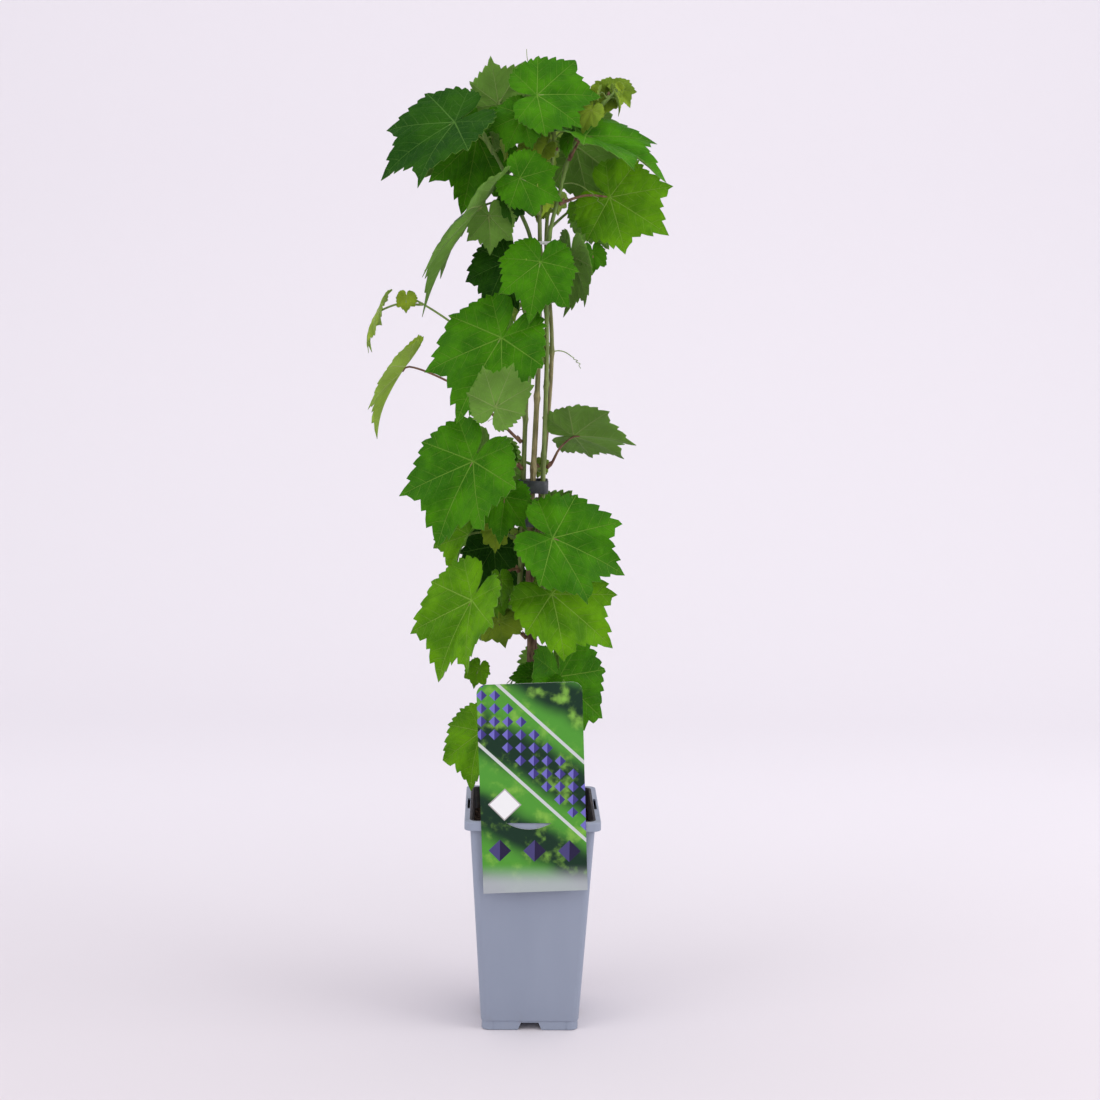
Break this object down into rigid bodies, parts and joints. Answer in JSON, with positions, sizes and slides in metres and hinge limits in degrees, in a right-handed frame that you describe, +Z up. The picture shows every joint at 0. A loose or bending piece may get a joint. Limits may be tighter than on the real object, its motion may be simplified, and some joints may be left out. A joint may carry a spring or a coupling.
{
  "type": "potted grapevine",
  "caption": "Young grapevine trained upright in a tall tapered square pot, with a woody stem, green shoots, lobed leaves in separate masses, and a card label hooked over the rim.",
  "frame": {"origin": "middle of the pot's flat underside, on the floor that it stands on", "axes": "+Z up along the stem, -Y to the front where the label hangs, +X to the right of the front view"},
  "size_m": [0.2807, 0.1595, 0.9243],
  "materials": {
    "pot_plastic": "satin blue-grey",
    "soil": "crumbly, damp",
    "label_card": "printed, semi-gloss",
    "bark": "rough bark",
    "green_wood": "smooth green-brown",
    "tie_white": "satin",
    "clip_plastic": "matt",
    "foliage": "leaf green, satin"
  },
  "bodies": {
    "root": {"pot": "pot_plastic", "soil": "soil", "label": "label_card", "trunk": "bark", "shoot-centre": "bark", "shoot-left": "green_wood", "shoot-right": "green_wood", "shoot-back": "green_wood", "tie-waist": "tie_white", "clip-upper": "clip_plastic", "clip-lower": "clip_plastic", "leaves-back-crown-centre": "foliage", "leaves-back-crown-left": "foliage", "leaves-back-crown-low-right": "foliage", "leaves-back-crown-right": "foliage", "leaves-back-crown-top": "foliage", "leaves-back-foot-right": "foliage", "leaves-back-low-left": "foliage", "leaves-back-low-right": "foliage", "leaves-back-mid-left": "foliage", "leaves-back-mid-right": "foliage", "leaves-back-upper-left": "foliage", "leaves-back-waist-front": "foliage", "leaves-crown-centre": "foliage", "leaves-crown-hanging": "foliage", "leaves-crown-left": "foliage", "leaves-crown-low-right": "foliage", "leaves-crown-right": "foliage", "leaves-crown-top": "foliage", "leaves-crown-top-left": "foliage", "leaves-crown-under": "foliage", "leaves-far-left": "foliage", "leaves-flank-foot": "foliage", "leaves-flank-left": "foliage", "leaves-flank-low": "foliage", "leaves-foot-left": "foliage", "leaves-foot-right": "foliage", "leaves-low-centre": "foliage", "leaves-low-left": "foliage", "leaves-low-right": "foliage", "leaves-low-shade": "foliage", "leaves-low-side": "foliage", "leaves-mid-centre": "foliage", "leaves-mid-left": "foliage", "leaves-mid-right": "foliage", "leaves-mid-side": "foliage", "leaves-side-shoot": "foliage", "leaves-tip-right": "foliage", "leaves-upper-left": "foliage", "leaves-waist-front": "foliage", "leaves-waist-left": "foliage", "leaves-waist-right": "foliage"}
  },
  "joints": []
}
